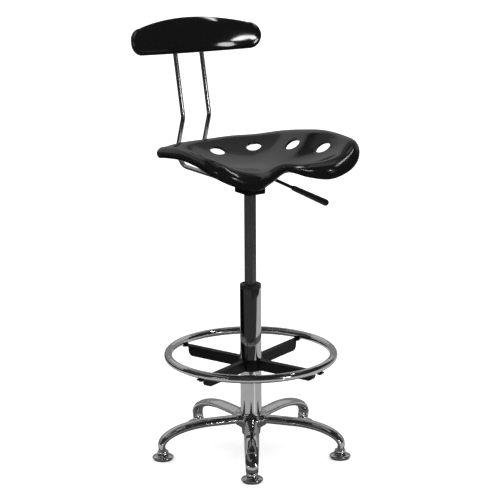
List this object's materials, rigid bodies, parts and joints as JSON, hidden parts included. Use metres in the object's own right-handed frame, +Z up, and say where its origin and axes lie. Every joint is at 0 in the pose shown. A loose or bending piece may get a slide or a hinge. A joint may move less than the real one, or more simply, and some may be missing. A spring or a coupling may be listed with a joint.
{
  "type": "drafting chair",
  "caption": "Tall drafting chair with a dished tractor-style seat on a gas lift, a small curved backrest on two bent rods, a sliding foot ring and a base of curved tubular legs on glides.",
  "frame": {"origin": "On the floor, where the column's vertical axis meets it.", "axes": "+Z up the column. -Y is the way the sitter faces: the seat's open front is at -Y and the backrest behind it at +Y. +X is to the sitter's left as they sit, the side the lift lever is on."},
  "size_m": [0.4643, 0.4887, 1.0001],
  "materials": {
    "gloss_black": "glossy, smooth moulded black plastic",
    "black_plastic": "satin black plastic",
    "black_grip": "semi-gloss black plastic",
    "black_steel": "satin black powder coat on steel",
    "black_cylinder": "satin black enamel on a drawn steel tube",
    "chrome": "bright chrome plate",
    "steel": "machined steel",
    "zinc": "zinc-plated steel",
    "brass": "moulded-in threaded brass",
    "dark_sole": "dull dark nylon",
    "rubber": "dull black rubber"
  },
  "bodies": {
    "base": {"column_tube": "chrome", "column_end_plate": "steel", "guide_bush": "black_plastic", "base_hub": "chrome", "leg_1": "chrome", "leg_2": "chrome", "leg_3": "chrome", "leg_4": "chrome", "leg_5": "chrome", "glide_1": "chrome", "glide_2": "chrome", "glide_3": "chrome", "glide_4": "chrome", "glide_5": "chrome", "glide_soles": "dark_sole", "leg_bushes": "steel", "lower_thrust_washer": "steel", "thrust_bearing": "steel"},
    "lift_rod": {"piston_rod": "chrome", "piston": "steel", "retaining_clip": "zinc", "upper_thrust_washer": "steel", "bump_stop": "rubber"},
    "seat": {"gas_cylinder": "black_cylinder", "rod_guide": "black_plastic", "seat_shell": "gloss_black", "seat_inserts": "brass", "seat_plate": "black_steel", "seat_bolts": "zinc", "mechanism_housing": "black_steel", "taper_socket": "steel", "lever_pivot_pin": "zinc", "left_back_rod": "chrome", "right_back_rod": "chrome", "backrest_shell": "gloss_black", "backrest_bracket": "black_steel", "backrest_screws": "zinc"},
    "lever": {"lever_rocker": "steel", "lever_rod": "black_steel", "lever_grip": "black_grip"},
    "button": {"release_button": "steel"},
    "foot_ring": {"foot_ring": "chrome", "ring_spider": "black_steel", "ring_screws": "zinc"},
    "clamp_knob": {"clamp_knob": "black_plastic", "clamp_stud": "zinc"}
  },
  "joints": [
    {"name": "seat_swivel", "type": "hinge", "parent": "base", "child": "lift_rod", "pos_m": [0, 0, 0.07], "axis": [0, 0, 1], "continuous": true},
    {"name": "seat_height", "type": "slide", "parent": "lift_rod", "child": "seat", "axis": [0, 0, 1], "range_m": [-0.19, 0]},
    {"name": "lever_lift", "type": "hinge", "parent": "seat", "child": "lever", "pos_m": [0.016, 0, 0.648], "axis": [0, -1, 0], "range_deg": [0, 8], "stiffness_Nm_per_rad": 3, "springref_deg": -8.59},
    {"name": "button_press", "type": "slide", "parent": "seat", "child": "button", "axis": [0, 0, 1], "range_m": [-0.0024, 0]},
    {"name": "ring_height", "type": "slide", "parent": "base", "child": "foot_ring", "axis": [0, 0, 1], "range_m": [-0.08, 0.1]},
    {"name": "knob_turn", "type": "hinge", "parent": "foot_ring", "child": "clamp_knob", "pos_m": [0.01665, 0.03637, 0.2129], "axis": [0.4163, 0.9092, 0], "range_deg": [0, 360]}
  ],
  "couplings": [
    {"joint": "button_press", "follows": "lever_lift", "m_per_rad": -0.016}
  ]
}
